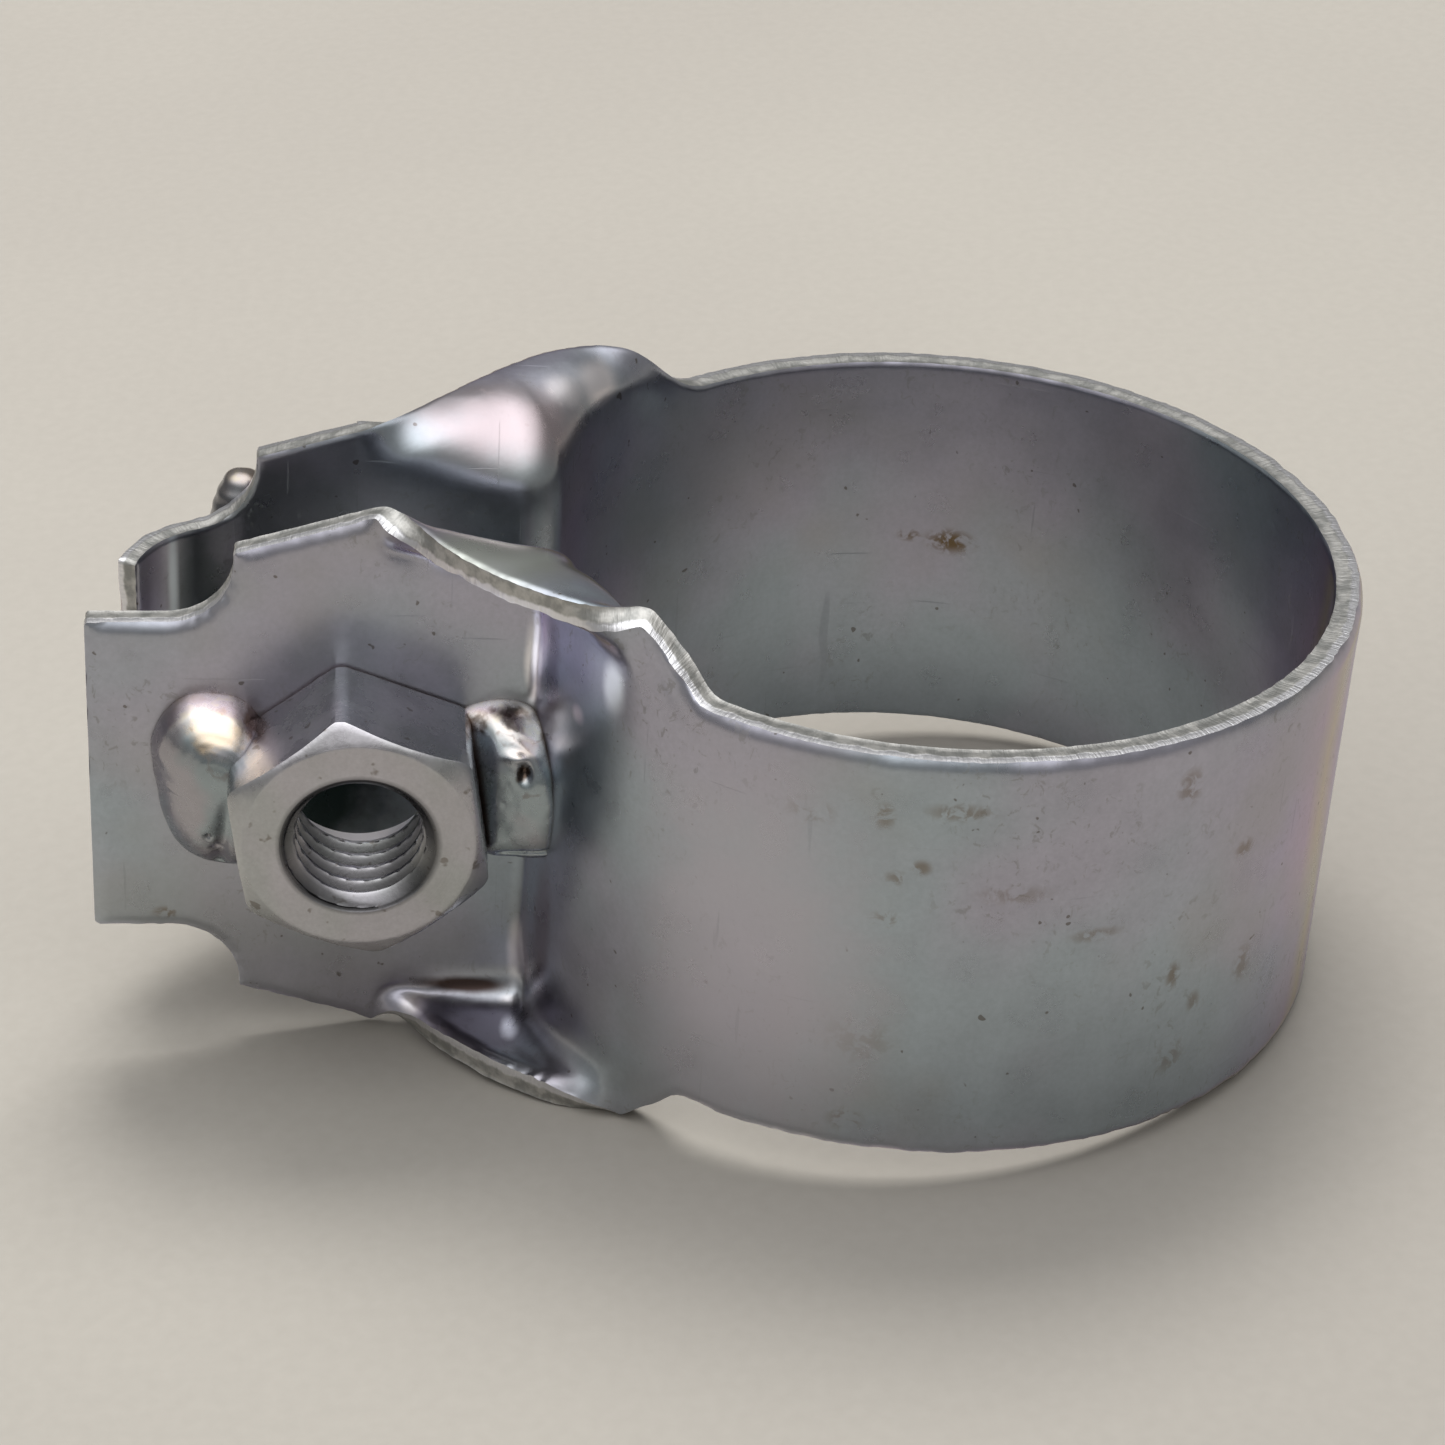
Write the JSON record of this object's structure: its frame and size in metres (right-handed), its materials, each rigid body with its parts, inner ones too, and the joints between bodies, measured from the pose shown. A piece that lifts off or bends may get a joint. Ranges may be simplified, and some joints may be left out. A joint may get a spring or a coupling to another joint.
{
  "type": "pipe repair clamp",
  "caption": "One-piece stamped band clamp for a round pipe: open sheet ring, two flat bolting ears with folded gusset webs, a curled fulcrum tab and a welded hexagon nut.",
  "frame": {"origin": "centre of the ring's bore, half way up the band", "axes": "+Z along the pipe; the two ears reach towards -X; the ear with the nut is on the -Y side; -Y is the nut's open face"},
  "size_m": [0.0842, 0.056, 0.0394],
  "materials": {
    "zinc_sheet": "bright zinc plate with blue passivation, stamped sheet, faint stains and scratches",
    "zinc_nut": "zinc plated nut, matt turned face",
    "weld_bead": "rippled weld metal under zinc plate, brown in the crevices",
    "zinc_plate": "zinc plated flat bar"
  },
  "bodies": {
    "nut_side": {"band_nut_half": "zinc_sheet", "hex_nut": "zinc_nut", "nut_weld_left": "weld_bead", "nut_weld_right": "weld_bead"},
    "plate_side": {"band_plate_half": "zinc_sheet", "backing_plate": "zinc_plate", "plate_weld_left": "weld_bead", "plate_weld_right": "weld_bead"}
  },
  "joints": [
    {"name": "spring_flex", "type": "hinge", "parent": "nut_side", "child": "plate_side", "pos_m": [0.027, 0, 0], "axis": [0, 0, 1], "range_deg": [-3, 4.2]}
  ]
}
